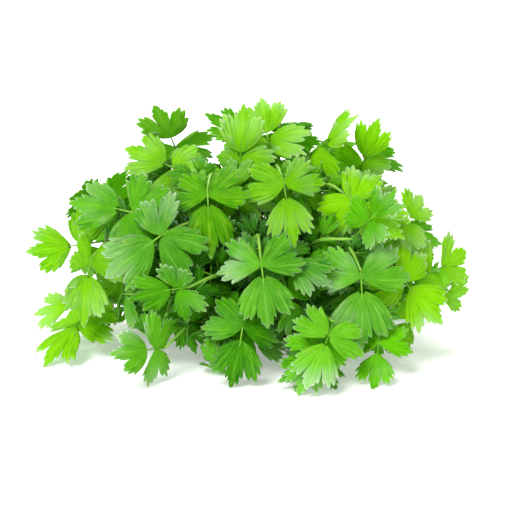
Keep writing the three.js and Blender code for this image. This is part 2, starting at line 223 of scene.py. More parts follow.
# A stem runs straight from its cut end to the neck, and bends from there to its fork and its tip.
def stemPoints(tip, fork, spot, cut, bow):
    neckY = growth["neckY"]
    leanX = (fork.x - spot.x) / parted(fork.y)
    leanZ = (fork.z - spot.y) / parted(fork.y)
    points = [Vector((spot.x, y, spot.y)) for y in (cut, neckY)]
    for share in growth["bowShares"]:
        y = neckY + (fork.y - neckY) * share
        point = Vector((spot.x + leanX * parted(y), y, spot.y + leanZ * parted(y)))
        point += bow * math.sin(share * math.pi)
        point.z = max(point.z, growth["stemWidth"] / 2)
        points.append(point)
    return points + [fork, tip]


def turned(vector, axis, angle):
    return Quaternion(axis, angle) @ vector


# One frond's attitude. The later the try, the further it may turn and fold, and the smaller it is.
def tryFrond(bud, seed, number, tries):
    late = number / tries
    draw = drawsFrom(seed, 8 * number)
    least, more = growth["sideTurn" if bud["atSide"] else "endTurn"]
    turn = least + more * late
    small = growth["smaller"] * late
    yaw, pitch, roll = [math.radians((next(draw) - 0.5) * 2 * turn) for _ in range(3)]
    arch = growth["arch"][0] + growth["arch"][1] * next(draw)
    reach, down = growth["foldRange"] + turn, growth["foldDown"]
    folds = [math.radians((next(draw) - 0.5) * reach + down) for _ in range(3)]
    if bud["atSide"]:
        slide = growth["sideSlide"] * bud["stalk"] * (next(draw) - 0.5)
    else:
        slide = growth["endSlide"] * next(draw)
    stalk = bud["stalk"] + small * slide
    line = bud["line"].copy()
    face = turned(bud["face"], line, roll)
    sideways = line.cross(face).normalized()
    line, face = turned(line, sideways, pitch), turned(face, sideways, pitch)
    line = turned(line, face, yaw)
    return {"size": bud["size"] * (1 - small), "stalk": stalk, "arch": arch, "folds": folds,
            "frame": frameAt(bud["root"] + line * stalk, line, face), "plain": False}


def frameAt(place, line, face):
    frameHere = Matrix((line.cross(face), line, face)).transposed().to_4x4()
    frameHere.translation = place
    return frameHere


# One way for a stem to its seat. The later the try, the further it may stray.
def tryBend(seat, budFork, bend):
    late = bend / growth["bends"]
    draw = drawsFrom(1000 * seat["seed"] + bend)

    def stray(least, more):
        return Vector([(next(draw) - 0.5) * 2 * (least + more * late) for _ in range(3)])

    tip = seat["place"] + stray(*growth["tipStray"])
    fork = budFork + stray(*growth["forkStray"])
    tip.z = max(tip.z, growth["stemWidth"] / 2)
    fork.z = max(fork.z, growth["lowestFork"])
    return tip, fork, stray(*growth["bowStray"])


# Which of its tries a sprig took shows in its solid, whose corners stand where that try puts them.
def solidCorners(number):
    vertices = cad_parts[f"sprig_{number:02d}"].data.vertices
    solid = KDTree(len(vertices))
    for i, vertex in enumerate(vertices):
        solid.insert(vertex.co * 1000 - growth["standing"], i)
    solid.balance()
    return solid


# The bundle has more places than stems: a sprig's own has the corners of its cut end around it.
def placeInBundle(solid, cut):
    pitch, radius = growth["stemPitch"], growth["stemWidth"] / 2
    low = radius * math.cos(math.pi / growth["stemSides"]) - growth["pressed"]
    spots = [Vector(((i - (count - 1) / 2) * pitch, low + row * pitch * growth["rowShare"]))
             for row, count in enumerate(growth["bundleRows"]) for i in range(count)]
    ring = radius + growth["match"]
    return max(spots, key=lambda spot: len(solid.find_range((spot.x, cut, spot.y), ring)))


# A stem's last ring of corners stands around its tip.
def isStemTip(solid, tip):
    radius = growth["stemWidth"] / 2 * (1 - growth["taper"])
    near = solid.find_range(tip, radius + growth["match"])
    return any(distance > radius - growth["match"] for _, _, distance in near)


# A frond's stalk has two corners in front of its side leaflets.
def findFrond(solid, bud, seed, tries):
    half = growth["stalkWidth"] / 2
    for number in range(tries):
        frond = tryFrond(bud, seed, number, tries)
        found = 0
        for x in (-half, half):
            corner = frond["frame"] @ Vector((x, growth["stalkFront"], growth["solidBlade"] / 2))
            corner.z = max(corner.z, growth["solidBlade"])
            found += solid.find(corner)[2] < growth["match"]
        if found == 2:
            return frond
    return None


# The bend and the end frond that the solid shows. If it shows none, the first of each is taken.
def findBend(solid, seat, budFork):
    bud = {"line": seat["line"], "face": seat["face"], "size": seat["size"],
           "stalk": growth["endRoot"], "atSide": False}
    seed, tries = 1000 * seat["seed"] + 500, growth["endTries"]
    for bend in range(growth["bends"]):
        tip, fork, bow = tryBend(seat, budFork, bend)
        bud["root"] = tip
        frond = isStemTip(solid, tip) and findFrond(solid, bud, seed + bend, tries)
        if frond:
            return tip, fork, bow, frond
    tip, fork, bow = tryBend(seat, budFork, 0)
    bud["root"] = tip
    return tip, fork, bow, tryFrond(bud, seed, 0, tries)


def growSprig(number, row, side):
    seat = seatInSpace(row, side)
    coming = (seat["place"] - Vector((0, growth["neckY"], growth["neckZ"]))).normalized()
    follow, ahead = growth["rachisLean"]
    rachis = (coming * follow + seat["line"] * ahead).normalized()
    budFork = seat["place"] - rachis * growth["rachis"]
    budFork.z = max(budFork.z, growth["lowestFork"])
    cut = growth["cutY"] + (next(drawsFrom(seat["seed"])) - 0.5) * 2 * growth["cutSpread"]
    solid = solidCorners(number)
    tip, fork, bow, endFrond = findBend(solid, seat, budFork)
    fronds = [endFrond]
    for i in range(seat["sideFronds"]):
        handed = (1 if i == 0 else -1) * (1 if seat["seed"] % 2 else -1)
        aside, forwards = growth["sideSpread"]
        way = seat["line"].cross(seat["face"]) * (handed * aside) + rachis * forwards
        way.normalize()
        upright = (seat["face"] - way * seat["face"].dot(way)).normalized()
        bud = {"root": fork.lerp(tip, growth["forkShare"]), "line": way, "face": upright,
               "size": seat["size"] * growth["sideSize"], "atSide": True,
               "stalk": growth["sideStalk"] * seat["size"]}
        frond = findFrond(solid, bud, 1000 * seat["seed"] + 700 + i, growth["sideTries"])
        if frond:  # one that found no room is not there
            fronds.append(frond)
    stem = stemPoints(tip, fork, placeInBundle(solid, cut), cut, bow)
    return {"number": number, "seat": seat, "stem": stem, "fronds": fronds}


sprigs = [growSprig(i + 1, row, -1) for i, row in enumerate(frontSeats)]
sprigs += [growSprig(len(frontSeats) + i + 1, row, 1) for i, row in enumerate(backSeats)]
print("sprigs grown:", len(sprigs), "with", sum(len(s["fronds"]) for s in sprigs), "fronds")

# The leaflets' rims: tips of teeth and the cuts between them, as degrees off the leaflet's line,
# share of its length, and how strong the vein there is, or deepCut between two lobes.
deepCut = -1
endRim = [
    (-40, 0.32, 0), (-56, 0.58, 0.4), (-52, 0.55, 0), (-48, 0.78, 0.6), (-42.5, 0.66, 0),
    (-38, 0.94, 0.8), (-33, 0.8, 0), (-29, 1.0, 1), (-24.5, 0.84, 0), (-21, 0.91, 0.6),
    (-16, 0.41, deepCut), (-12, 0.88, 0.6), (-8.5, 0.82, 0), (-6.5, 1.0, 0.5), (-4, 0.97, 0),
    (0, 1.13, 1),
    (4, 0.97, 0), (6.5, 1.0, 0.5), (8.5, 0.82, 0), (12, 0.88, 0.6), (16, 0.41, deepCut),
    (21, 0.91, 0.6), (24.5, 0.84, 0), (29, 1.0, 1), (33, 0.8, 0), (38, 0.94, 0.8),
    (42.5, 0.66, 0), (48, 0.78, 0.6), (52, 0.55, 0), (56, 0.58, 0.4), (40, 0.32, 0),
]
sideRim = [
    (-38, 0.34, 0), (-53, 0.62, 0.4), (-48, 0.57, 0), (-43, 0.85, 0.6), (-37, 0.7, 0),
    (-32, 0.98, 0.8), (-27, 0.82, 0), (-23, 1.03, 1), (-18, 0.84, 0), (-13, 0.91, 0.6),
    (-5, 0.36, deepCut), (3, 0.9, 0.6), (8, 0.8, 0), (12, 1.0, 0.6), (15, 0.93, 0),
    (18, 1.06, 1), (23, 0.82, 0), (28, 0.95, 0.8), (34, 0.7, 0), (41, 0.79, 0.4), (36, 0.36, 0),
]

blade = {
    "spanSteps": [0.4, 0.75, 1.0],  # columns from one rim point to the next
    "rows": [0.14, 0.32, 0.5, 0.67, 0.82, 0.94, 1.0],  # share of the way to the rim
    "plainSteps": [1.0],  # the same for the fronds further in
    "plainRows": [0.55, 1.0],
    "thickness": 0.3,  # millimetres
    "toothCurve": 0.55,  # how round the teeth are
    "toothJitter": 1.3,  # degrees
    "lengthJitter": 0.04,
    "cutDepth": (1.0, 1.4),  # the shallower, the larger
    "flare": (-0.85, -0.1),  # how much the veins bend outwards, or forwards if less than 0
    "breadth": (0.94, 1.12),
    "wedge": (0.8, 4.2),  # how far an end leaflet's base runs back down its stalk
    "wedgeCurve": 1.5,
    "endOverlap": 1,  # how far an end leaflet's base starts before its stalk ends
    "sideOverlap": 0.3,
    "lobeFold": 0.35,
    "wildness": (0.5, 1.2),  # how rippled a leaflet is beside the others
    "ripple": 0.9,
    "ripples": 5,  # radians of a wave to one of the rim
    "swell": 0.35,  # radians of a wave to a millimetre outwards
    "swellShare": 0.5,
    "tipDroop": 0.7,
    "droops": 4,
    "droopUneven": 0.6,
    "phase": 6.3,  # the ripples start anywhere in a full turn
    "veinRelief": 0.1,
    "mainVein": 0.8,  # a vein stronger than this runs down to the base
    "branchFrom": 0.2,  # and the others show from here outwards
    "branchOver": 0.25,
    "lowest": 0.25,  # how near a blade's middle comes to the surface
    "slide": 0.75,  # how far a blade on the surface moves out, as a share of its depth below it
    "weld": 1e-4,  # millimetres
    "kept": 0.0002,  # metres that a blade's middle keeps from the sides of the box
}


# The folds of the left, end and right leaflets, about the lines where they meet the stalk.
def foldTurns(frond):
    right, end, left = frond["folds"]
    return {-1: Quaternion((0, 1, 0), left), 0: Quaternion((1, 0, 0), end),
            1: Quaternion((0, -1, 0), right)}


# Where a point of a flat frond goes: side is 0 on the end leaflet, -1 or 1 on a side one.
def bentPoint(frond, side, x, y, z):
    arch = frond["arch"]
    if "turns" not in frond:
        frond["turns"] = foldTurns(frond)
    if side == 0:
        root = growth["endStalk"] * frond["size"]
        ahead = y - root
        curve = growth["archAcross"] * x * x + growth["archAlong"] * ahead * ahead
        point = Vector((x, ahead, z - arch * curve))
        if ahead > 0:
            point = frond["turns"][0] @ point
        point.y += root
    else:
        half = growth["stalkWidth"] / 2
        beside = abs(x) - half
        curve = growth["archAcross"] * beside * beside + growth["archBeside"] * y * y
        point = Vector((side * beside, y, z - arch * curve))
        if beside > 0:
            point = frond["turns"][side] @ point
        point.x += side * half
    return frond["frame"] @ point


# A blade that reaches the surface bends outwards along it.
def laidDown(frond, point):
    depth = blade["lowest"] - point.z
    if depth > 0:
        line, face = frond["frame"].col[1].xyz, frond["frame"].col[2].xyz
        away = (line + face).xy.normalized() * depth * blade["slide"]
        point = Vector((point.x + away.x, point.y + away.y, blade["lowest"]))
    return point


# The rim as columns of degrees, reach and vein, with rounded teeth between its points.
def rimColumns(rim, pick, steps):
    shaken = []
    for angle, share, vein in rim:
        share *= 1 + pick.uniform(-1, 1) * blade["lengthJitter"]
        if vein == deepCut:
            share *= pick.uniform(*blade["cutDepth"])
        shaken.append((angle + pick.uniform(-1, 1) * blade["toothJitter"], share, max(vein, 0)))
    columns = [shaken[0]]
    for before, after in zip(shaken, shaken[1:]):
        rising = after[1] > before[1]
        for step in steps:
            share = step if rising else 1 - step
            low, high = (before, after) if rising else (after, before)
            sideways = share + (share ** 2 - share) * blade["toothCurve"]
            outwards = share + (share - share ** 2) * blade["toothCurve"]
            angle = low[0] + (high[0] - low[0]) * sideways
            reach = low[1] + (high[1] - low[1]) * outwards
            vein = before[2] + (after[2] - before[2]) * step
            columns.append((angle, reach, vein))
    return columns


# A flat grid is spread between the leaflet's base and its rim, and bent with its frond.
def addLeaflet(bm, layers, frond, side, pick, shadeTone):
    uvLayer, veinLayer, shadeToneLayer = layers
    rim, length, lean, base = leafletRim(frond, side)
    plain = frond["plain"]
    columns = rimColumns(rim, pick, blade["plainSteps" if plain else "spanSteps"])
    if side > 0:
        columns = [(-angle, reach, vein) for angle, reach, vein in reversed(columns)]
    rows = [0] + blade["plainRows" if plain else "rows"]
    grid = bmesh.ops.create_grid(bm, x_segments=len(columns) - 1, y_segments=len(rows) - 1,
                                 size=1, calc_uvs=True)["verts"]
    waves = [pick.uniform(0, blade["phase"]) for _ in range(3)]
    wild = pick.uniform(*blade["wildness"])
    flare, breadth = pick.uniform(*blade["flare"]), pick.uniform(*blade["breadth"])
    wedge = 0 if side else pick.uniform(*blade["wedge"]) * frond["size"]
    for vert in grid:
        column = round((vert.co.x + 1) / 2 * (len(columns) - 1))
        row = round((vert.co.y + 1) / 2 * (len(rows) - 1))
        angle, reach, vein = columns[column]
        out = rows[row]
        turn = math.radians(lean + angle * breadth * (1 - flare * (1 - out)))
        away = out * reach * length
        x = base.x + math.sin(turn) * away
        y = base.y + math.cos(turn) * away - wedge * (1 - out) ** blade["wedgeCurve"]
        along = math.radians(angle)
        drooping = 1 + blade["droopUneven"] * math.sin(along * blade["droops"] + waves[2])
        lift = blade["lobeFold"] * (0.5 - vein) * out * reach
        lift += wild * blade["ripple"] * out * out * math.sin(along * blade["ripples"] + waves[0])
        swell = blade["swellShare"] * wild * blade["ripple"]
        lift += swell * out * math.sin(away * blade["swell"] + waves[1])
        lift -= blade["tipDroop"] * out ** 4 * drooping
        lift += blade["veinRelief"] * vein * 3 * out * (1 - out)  # 0 at the base, so that it closes
        vert.co = laidDown(frond, bentPoint(frond, side, x, y, lift))
        branching = max(0, min(1, (out - blade["branchFrom"]) / blade["branchOver"]))
        vert[veinLayer] = vein * (1 if vein > blade["mainVein"] else branching)
        vert[shadeToneLayer] = shadeTone
    for face in {face for vert in grid for face in vert.link_faces}:
        for loop in face.loops:
            loop[uvLayer].uv.y = rows[round(loop[uvLayer].uv.y * (len(rows) - 1))]
        face.smooth = True
    bmesh.ops.remove_doubles(bm, verts=grid, dist=blade["weld"])


# A leaflet's rim, length, lean and base.
def leafletRim(frond, side):
    if side == 0:
        base = Vector((0, growth["endStalk"] * frond["size"] - blade["endOverlap"]))
        return endRim, growth["endLength"] * frond["size"], 0, base
    length, lean = growth["sideLength"] * frond["size"], side * growth["sideLean"]
    return sideRim, length, lean, Vector((side * blade["sideOverlap"], 0))


# What has grown is kept in boxes of space, so that an inner frond can look for free room.
inner = {
    "perSprig": 26,
    "step": 7,  # from one frond's place on the stem to the next one's
    "tries": 60,
    "clearance": 0.8,  # millimetres between the points of two fronds
    "nearRoot": 5,  # what grows this near to a frond's own root is not in its way
    "shrink": 0.55,  # how much smaller the last try is
    "spacing": 2.6,  # between the points that are looked at
    "grownSpacing": 1.2,  # between the points kept of a frond that is there
    "stemSpacing": 1.0,
    "leastReach": 2,  # nearer to a leaflet's base, no points are looked at
    "sizes": (0.75, 1.1),
    "stalks": (5, 24),
    "forward": (0.1, 1.2),  # how far a stalk leans towards its stem's tip
    "facing": 0.6,  # how far its face may stray from the end frond's
    "folds": (-25, 10),
    "arches": (0.004, 0.014),
    "margin": 2.0,  # how high above the surface they stay
    "mound": (0.92, 0.92, 1.05),  # shares of the mound's radii that they stay within
}
grown = {}


def boxOf(point):
    size = inner["clearance"]
    return math.floor(point.x / size), math.floor(point.y / size), math.floor(point.z / size)


def remember(samples):
    for point in samples:
        grown.setdefault(boxOf(point), []).append(point)


neighbours = [(a, b, c) for a in (-1, 0, 1) for b in (-1, 0, 1) for c in (-1, 0, 1)]


def isClear(samples, root):
    for point in samples:
        i, j, k = boxOf(point)
        for a, b, c in neighbours:
            for other in grown.get((i + a, j + b, k + c), ()):
                near = (other - point).length < inner["clearance"]
                if near and (other - root).length > inner["nearRoot"]:
                    return False
    return True


def samplesOf(frond, spacing):
    samples = []
    for side in (-1, 0, 1):
        rim, length, lean, base = leafletRim(frond, side)
        handed = -side if side else 1
        for angle, share, _ in rim[::2] + rim[1::2]:
            turn = math.radians(lean + handed * angle)
            reach = share * length
            while reach > inner["leastReach"]:
                x, y = base.x + math.sin(turn) * reach, base.y + math.cos(turn) * reach
                samples.append(bentPoint(frond, side, x, y, 0))
                reach -= spacing
    y = -frond["stalk"]
    while y < growth["endStalk"] * frond["size"]:
        samples.append(frond["frame"] @ Vector((0, y, 0)))
        y += spacing
    return samples


# A few points, far apart, that soon tell whether a frond can't be there: side, across and along.
farPoints = [(0, 0, 34), (0, 12, 28), (0, -12, 28), (1, 23, -6), (-1, 23, -6), (1, 16, 8),
             (-1, 16, 8), (0, 0, 20), (1, 11, -3), (-1, 11, -3)]


def cornersOf(frond):
    size = frond["size"]
    return [bentPoint(frond, side, (x * side if side else x) * size, y * size, 0)
            for side, x, y in farPoints]


def samplesAlong(points, spacing):
    samples = []
    for before, after in zip(points, points[1:]):
        count = math.ceil((after - before).length / spacing)
        samples += [before.lerp(after, i / count) for i in range(count)]
    return samples


def isInside(samples):
    centre, radii = growth["moundCentre"], growth["moundRadii"] * Vector(inner["mound"])
    for point in samples:
        outward = [(a - b) / c for a, b, c in zip(point, centre, radii)]
        if point.z < inner["margin"] or sum(value * value for value in outward) > 1:
            return False
    return True


def growInner(sprig, number, pick):
    among = ((number * inner["step"]) % inner["perSprig"] + pick.random()) / inner["perSprig"]
    span = among * 4  # the stem's last four spans carry them
    before, after = sprig["stem"][2 + int(span)], sprig["stem"][3 + int(span)]
    root, along = before.lerp(after, span % 1), (after - before).normalized()
    small, big = inner["sizes"]
    for attempt in range(inner["tries"]):
        aside = turned(along.orthogonal().normalized(), along, pick.uniform(0, 2 * math.pi))
        way = (aside + along * pick.uniform(*inner["forward"])).normalized()
        stray = [pick.uniform(-inner["facing"], inner["facing"]) for _ in range(3)]
        face = sprig["seat"]["face"] + Vector(stray)
        face = (face - way * face.dot(way)).normalized()
        size = pick.uniform(small, big) * (1 - inner["shrink"] * attempt / inner["tries"])
        stalk = pick.uniform(*inner["stalks"]) * size
        folds = [math.radians(pick.uniform(*inner["folds"])) for _ in range(3)]
        frond = {"size": size, "stalk": stalk, "arch": pick.uniform(*inner["arches"]),
                 "folds": folds, "frame": frameAt(root + way * stalk, way, face), "plain": True}
        corners = cornersOf(frond)
        if not isInside(corners) or not isClear(corners, root):
            continue
        samples = samplesOf(frond, inner["spacing"])
        if isInside(samples) and isClear(samples, root):
            remember(samples)
            return frond
    return None


for sprig in sprigs:
    remember(samplesAlong(sprig["stem"], inner["stemSpacing"]))
    for frond in sprig["fronds"]:
        remember(samplesOf(frond, inner["grownSpacing"]))
innerCount = 0
for number in range(inner["perSprig"]):
    for sprig in sprigs:
        frond = growInner(sprig, number, random.Random(1000 * number + sprig["number"]))
        if frond:
            sprig["fronds"].append(frond)
            innerCount += 1
print("inner fronds grown:", innerCount)

stem = {
    "sides": 12,
    "sectionsPerSpan": 4,
    "spans": 6,  # between the points of a stem
    "rib": 0.09,  # how deep the ribs are, as a share of the radius
    "ribs": 6,
    "stalkRadius": 0.62,
    "stalkSides": 6,
    "stalkSections": 6,
    "stalkShares": (0.6, 0.25),  # where a stalk has rings, on the way back to its stem
    "neckShare": 0.6,
    "stalkRadii": (1.1, 1, 0.95, 0.85, 0.7, 0.6, 0.2),  # from the stem to the end leaflet
    "stalkEnd": 3.5,  # how far a stalk runs on under the end leaflet
    "stalkUnder": 0.25,
    "tipRadii": (0.95, 0.82),  # how much thinner than it would be, just before the tip
    "pithInset": 0.32,
    "pithDepth": 0.012,
    "recess": 12.0,  # millimetres that 1 of pithDepth becomes
    "lowest": 0.9,  # how high a stem's middle stays, as a share of its radius
}


# A straight rod along Z, 1 long, which addRod bends. A stem's has its pith inset at the cut end.
def rodTemplate(sides, sections, inset=0):
    bm = bmesh.new()
    bmesh.ops.create_cone(bm, cap_ends=True, segments=sides, radius1=1, radius2=1, depth=1)
    if inset:
        cutEnd = [face for face in bm.faces if face.calc_center_median().z < -0.4]
        bmesh.ops.inset_individual(bm, faces=cutEnd, thickness=inset, depth=-stem["pithDepth"])
        for face in cutEnd:
            face.material_index = 1
    long = [edge for edge in bm.edges if abs(edge.verts[0].co.z - edge.verts[1].co.z) > 0.5]
    bmesh.ops.subdivide_edges(bm, edges=long, cuts=sections - 1, use_grid_fill=True)
    bmesh.ops.recalc_face_normals(bm, faces=bm.faces)
    mesh = bpy.data.meshes.new("rod")
    bm.to_mesh(mesh)
    bm.free()
    return mesh


def smoothPath(points, perSpan):
    path = []
    padded = [points[0] * 2 - points[1], *points, points[-1] * 2 - points[-2]]
    for a, b, c, d in zip(padded, padded[1:], padded[2:], padded[3:]):
        for i in range(perSpan):
            t = i / perSpan
            bend = (c - a) * t + (a * 2 - b * 5 + c * 4 - d) * t ** 2
            bend += (b * 3 - a - c * 3 + d) * t ** 3
            path.append(b + bend / 2)
    return path + [points[-1]]


def addRod(bm, ribLayer, template, path, radii, rib=0):
    start = len(bm.verts)
    bm.from_mesh(template)
    bm.verts.ensure_lookup_table()
    steps = len(path) - 1
    ways = [(path[min(i + 1, steps)] - path[max(i - 1, 0)]).normalized() for i in range(steps + 1)]
    sideways = [ways[0].orthogonal().normalized()]
    for way in ways[1:]:
        sideways.append((sideways[-1] - way * sideways[-1].dot(way)).normalized())
    for vert in bm.verts[start:]:
        share = vert.co.z + 0.5
        i = min(max(round(share * steps), 0), steps)
        beyond = share - i / steps
        around = math.atan2(vert.co.y, vert.co.x)
        ridge = 0.5 + 0.5 * math.cos(around * stem["ribs"])
        reach = math.hypot(vert.co.x, vert.co.y) * radii[i] * (1 + rib * (ridge - 0.5))
        across = sideways[i] * math.cos(around) + ways[i].cross(sideways[i]) * math.sin(around)
        point = path[i] + across * reach + ways[i] * beyond * stem["recess"]
        point.z = max(point.z, 0)
        vert.co = point
        vert[ribLayer] = ridge


# How much painted shade a leaf has, with a random tone on top: 0, lit, at the rim and on the right,
# and 1, fully shaded, in the middle and inside.
shadeTones = {
    "middle": Vector((-26, -90, 72)),
    "reach": Vector((106, 130, 74)),
    "from": 0.2,
    "outer": 0.8,
    # the fronds further in get this much more painted shade
    "inside": 0.45,  # how much darker the fronds further in are
    "spread": 0.26,  # among fronds
    "leafSpread": 0.08,  # among the leaflets of one frond
}


def shadeToneOf(frond, pick):
    place = frond["frame"].translation - shadeTones["middle"]
    out = math.sqrt(sum((a / b) ** 2 for a, b in zip(place, shadeTones["reach"])))
    share = (1 - out) / (1 - shadeTones["from"]) * shadeTones["outer"]
    if frond["plain"]:
        share += shadeTones["inside"]
    return max(0, min(1, share + pick.uniform(-1, 1) * shadeTones["spread"]))


# Moves a piece to its place, in metres, and keeps its points inside the box of the solids.
def placeInFrame(bm, kept=0.0):
    bmesh.ops.translate(bm, verts=bm.verts, vec=growth["standing"])
    bmesh.ops.scale(bm, verts=bm.verts, vec=(0.001, 0.001, 0.001))
    for vert in bm.verts:
        sides = zip(vert.co, *cadBox)
        vert.co = Vector([min(max(value, low + kept), high - kept) for value, low, high in sides])


def thicken(piece, thickness):
    solidify = piece.modifiers.new("thickness", "SOLIDIFY")
    solidify.thickness = thickness * 0.001
    solidify.offset = 0
    solidify.use_even_offset = False
    solidify.material_offset = 1


def pieceFrom(bm, name, materials, sprig):
    mesh = bpy.data.meshes.new(name)
    bm.to_mesh(mesh)
    bm.free()
    for material in materials:
        mesh.materials.append(material)
    piece = bpy.data.objects.new(name, mesh)
    bpy.context.scene.collection.objects.link(piece)
    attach(piece, "root")
    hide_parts(f"sprig_{sprig:02d}")
    return piece


# Adds a node, sets its settings, and gives its sockets values or links them to other nodes.
def addNode(tree, kind, settings=(), values=()):
    node = tree.nodes.new(kind)
    for key, value in dict(settings).items():
        setattr(node, key, value)
    for key, value in dict(values).items():
        if isinstance(value, bpy.types.NodeSocket):
            tree.links.new(value, node.inputs[key])
        else:
            node.inputs[key].default_value = value
    return node


def mathNode(tree, operation, *values):
    return addNode(tree, "ShaderNodeMath", {"operation": operation}, enumerate(values)).outputs[0]


def times(tree, *values):
    return mathNode(tree, "MULTIPLY", *values)


def plus(tree, *values):
    return mathNode(tree, "ADD", *values)


# 0 up to low, 1 from high on, and smooth between them.
def ramp(tree, value, low, high):
    values = {"Value": value, "From Min": low, "From Max": high}
    settings = {"interpolation_type": "SMOOTHSTEP"}
    return addNode(tree, "ShaderNodeMapRange", settings, values).outputs["Result"]


def blendColours(tree, amount, one, other):
    values = {0: amount, 6: one, 7: other}  # the factor and the two colours of a colour mix
    return addNode(tree, "ShaderNodeMix", {"data_type": "RGBA"}, values).outputs[2]


def noiseAt(tree, coordinates, scale, detail):
    values = {"Vector": coordinates, "Scale": scale, "Detail": detail}
    return addNode(tree, "ShaderNodeTexNoise", (), values).outputs["Fac"]


def attribute(tree, name):
    return addNode(tree, "ShaderNodeAttribute", {"attribute_name": name}).outputs["Fac"]


def newGroup(name, inputs, outputs):
    group = bpy.data.node_groups.new(name, "ShaderNodeTree")
    for socketName, kind in inputs:
        group.interface.new_socket(socketName, in_out="INPUT", socket_type=kind)
    for socketName, kind in outputs:
        group.interface.new_socket(socketName, in_out="OUTPUT", socket_type=kind)
    return group, group.nodes.new("NodeGroupInput"), group.nodes.new("NodeGroupOutput")


# What every leaf's skin has: painted shade and random dark blotches, veins, a pale rim that is
# partly painted rim light, and a painted sheen.
leafSkin = {
    "blotchScale": 55,
    "patchScale": 34,
    "cellScale": 900,
    "streakStretch": (60, 3, 1),
    "blotchRange": (0.35, 0.7),
    # the patches of painted sheen, and of painted rim light
    "sheenRange": (0.48, 0.62),
    "rimRange": (0.42, 0.58),
    "cellRange": (0.45, 0.7),
    "fineRange": (0.5, 0.7),
    "streakRange": (0.5, 0.3),
    # how much painted shade, with its random tone, darkens a leaf
    "shadeToneDarkening": 0.8,
    "blotchDeepness": 0.25,
    "streakDeepness": 0.22,
    "mainVein": (0.62, 1.0),
    "veinFade": 0.6,  # how much fainter the veins are at the rim
    "fineVein": 0.45,
    "veinStrength": 0.7,
    # Below: how much painted shade dims the painted sheen and rim light, where the painted sheen
    # starts, and the pale rim: its least part is the leaf's own margin, the rest is painted rim
    # light on the lit leaves.
    "shadeToneDimming": 0.9,
    "sheenFrom": 0.25,
    "rimFrom": 0.93,
    "rimLeast": 0.12,
    "rimUneven": 0.6,
    "rimEven": 0.2,
    "speckle": 0.1,
    "roughness": 0.36,
    "cellRoughness": 0.16,
    "veinRoughness": 0.1,
    "cellHeight": 0.25,
    "streakHeight": 0.5,
    "veinHeight": 0.6,
    "bumpStrength": 0.5,
    "bumpDistance": 0.0003,
}


def leafPatternGroup():
    colour, number = "NodeSocketColor", "NodeSocketFloat"
    wanted = [(name, colour) for name in ("Unshaded", "DarkAndShaded", "Vein", "EdgeAndSheen")]
    wanted += [("Vein Strength", number), ("PaintedSheen", number)]
    made = [("Color", colour), ("Roughness", number), ("Height", number)]
    tree, given, out = newGroup("leafPattern", wanted, made)
    given, skin = given.outputs, leafSkin

    leafMap = addNode(tree, "ShaderNodeUVMap", {"uv_map": "leafMap"}).outputs[0]
    outward = addNode(tree, "ShaderNodeSeparateXYZ", (), {0: leafMap}).outputs["Y"]
    vein, shadeTone = attribute(tree, "vein"), attribute(tree, "shadeTone")
    place = addNode(tree, "ShaderNodeTexCoord").outputs["Object"]
    stretch = {"Scale": skin["streakStretch"], "Vector": leafMap}
    blotch = noiseAt(tree, place, skin["blotchScale"], 2)
    cells = noiseAt(tree, place, skin["cellScale"], 2)
    streaks = noiseAt(tree, addNode(tree, "ShaderNodeMapping", (), stretch).outputs[0], 1, 2)
    patches = noiseAt(tree, place, skin["patchScale"], 1)

    # veins
    strong = mathNode(tree, "SUBTRACT", 1.0, times(tree, outward, skin["veinFade"]))
    mainVein = times(tree, ramp(tree, vein, *skin["mainVein"]), strong)
    fine = times(tree, ramp(tree, streaks, *skin["fineRange"]), skin["fineVein"])
    lines = times(tree, mathNode(tree, "MAXIMUM", mainVein, fine), given["Vein Strength"])

    # painted shade from each leaf's shade attribute, with random dark blotches and darker streaks
    # between the veins
    blotches = times(tree, ramp(tree, blotch, *skin["blotchRange"]), skin["blotchDeepness"])
    shadeAndBlotches = plus(tree, times(tree, shadeTone, skin["shadeToneDarkening"]), blotches)
    between = times(tree, ramp(tree, streaks, *skin["streakRange"]), skin["streakDeepness"])
    body = blendColours(tree, plus(tree, shadeAndBlotches, between), given["Unshaded"], given["DarkAndShaded"])
    # how much lighter a leaf is painted where its painted shade and random tone are low; the
    # painted sheen and rim light follow it
    lighter = mathNode(tree, "SUBTRACT", 1.0, times(tree, shadeTone, skin["shadeToneDimming"]))

    # the painted sheen, in patches towards the rim and only on the lit leaves, and the rim itself,
    # which is uneven: the leaf's own pale margin, plus painted rim light on the lit leaves
    paintedSheen = times(tree, ramp(tree, outward, skin["sheenFrom"], 1.0),
                  ramp(tree, patches, *skin["sheenRange"]))
    paintedSheen = times(tree, times(tree, paintedSheen, lighter), given["PaintedSheen"])
    body = blendColours(tree, paintedSheen, body, given["EdgeAndSheen"])
    veined = blendColours(tree, lines, body, given["Vein"])
    uneven = times(tree, ramp(tree, patches, *skin["rimRange"]), skin["rimUneven"])
    paleness = times(tree, plus(tree, uneven, skin["rimEven"]), lighter)
    rim = times(tree, ramp(tree, outward, skin["rimFrom"], 1.0),
                plus(tree, skin["rimLeast"], paleness))
    edged = blendColours(tree, rim, veined, given["EdgeAndSheen"])
    speckles = times(tree, ramp(tree, cells, *skin["cellRange"]), skin["speckle"])
    tree.links.new(blendColours(tree, speckles, edged, given["Vein"]), out.inputs["Color"])

    rough = plus(tree, skin["roughness"], times(tree, cells, skin["cellRoughness"]))
    rough = plus(tree, rough, times(tree, lines, skin["veinRoughness"]))
    tree.links.new(rough, out.inputs["Roughness"])
    height = plus(tree, times(tree, cells, skin["cellHeight"]),
                  times(tree, streaks, skin["streakHeight"]))
    height = mathNode(tree, "SUBTRACT", height, times(tree, mainVein, skin["veinHeight"]))
    tree.links.new(height, out.inputs["Height"])
    return tree


